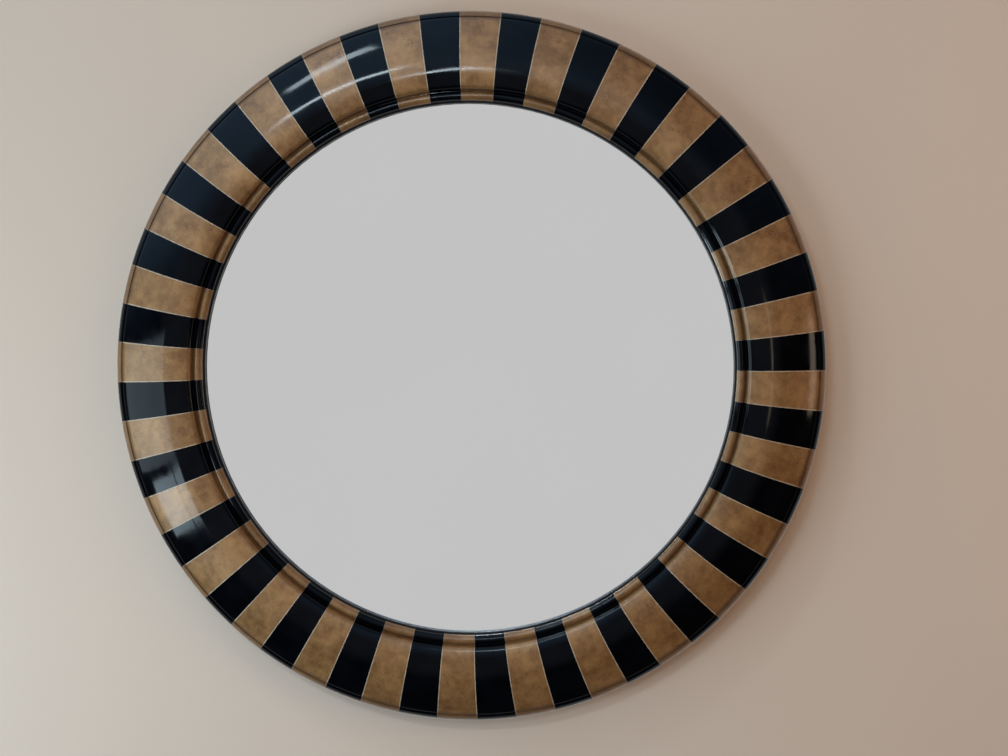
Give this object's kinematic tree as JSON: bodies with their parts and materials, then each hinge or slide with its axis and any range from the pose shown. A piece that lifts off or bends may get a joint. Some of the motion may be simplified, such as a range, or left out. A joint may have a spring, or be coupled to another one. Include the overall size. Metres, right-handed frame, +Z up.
{
  "type": "round wall mirror",
  "caption": "Round wall mirror in a wide domed wooden moulding of radial black and antique gold stripes, hung by two D-rings on its backing ring.",
  "frame": {"origin": "on the ring's axis, in the wall plane that the rubber bumpers touch", "axes": "+Y into the wall along the ring's axis, -Y towards the viewer, +Z up as hung, +X right"},
  "size_m": [1, 0.0685, 1],
  "materials": {
    "black_lacquer": "black gloss lacquer",
    "antique_gold": "antique gold glaze, satin varnish",
    "pale_line": "pale stringing under satin varnish",
    "beech": "bare beech dowel",
    "black_slip": "black satin lacquer",
    "mirror": "silvered float glass",
    "rubber": "matt black rubber",
    "foam": "closed-cell foam",
    "backing_board": "hardboard face",
    "birch_plywood": "sanded birch plywood",
    "zinc_steel": "bright zinc plate"
  },
  "bodies": {
    "frame": {"black_segments": "black_lacquer", "gold_segments": "antique_gold", "pale_stringing": "pale_line", "joint_dowels": "beech", "sight_slip": "black_slip", "mirror_glass": "mirror", "glass_spacers": "rubber", "foam_gasket": "foam", "backing_board": "backing_board", "segment_screws": "zinc_steel", "hanger_screws": "zinc_steel", "bumper_screws": "zinc_steel", "hanger_strap_left": "zinc_steel", "hanger_strap_right": "zinc_steel", "back_arc_1": "birch_plywood", "back_arc_2": "birch_plywood", "back_arc_3": "birch_plywood", "back_arc_4": "birch_plywood", "back_arc_5": "birch_plywood", "back_arc_6": "birch_plywood", "back_arc_7": "birch_plywood", "back_arc_8": "birch_plywood", "bumper_top_left": "rubber", "bumper_top_right": "rubber", "bumper_bottom_left": "rubber", "bumper_bottom_right": "rubber"},
    "d_ring_left": {"d_ring_left": "zinc_steel"},
    "d_ring_right": {"d_ring_right": "zinc_steel"}
  },
  "joints": [
    {"name": "d_ring_left_hinge", "type": "hinge", "parent": "frame", "child": "d_ring_left", "pos_m": [-0.28638, -0.0036, 0.3125], "axis": [1, 0, 0], "range_deg": [0, 180]},
    {"name": "d_ring_right_hinge", "type": "hinge", "parent": "frame", "child": "d_ring_right", "pos_m": [0.28638, -0.0036, 0.3125], "axis": [1, 0, 0], "range_deg": [0, 180]}
  ]
}
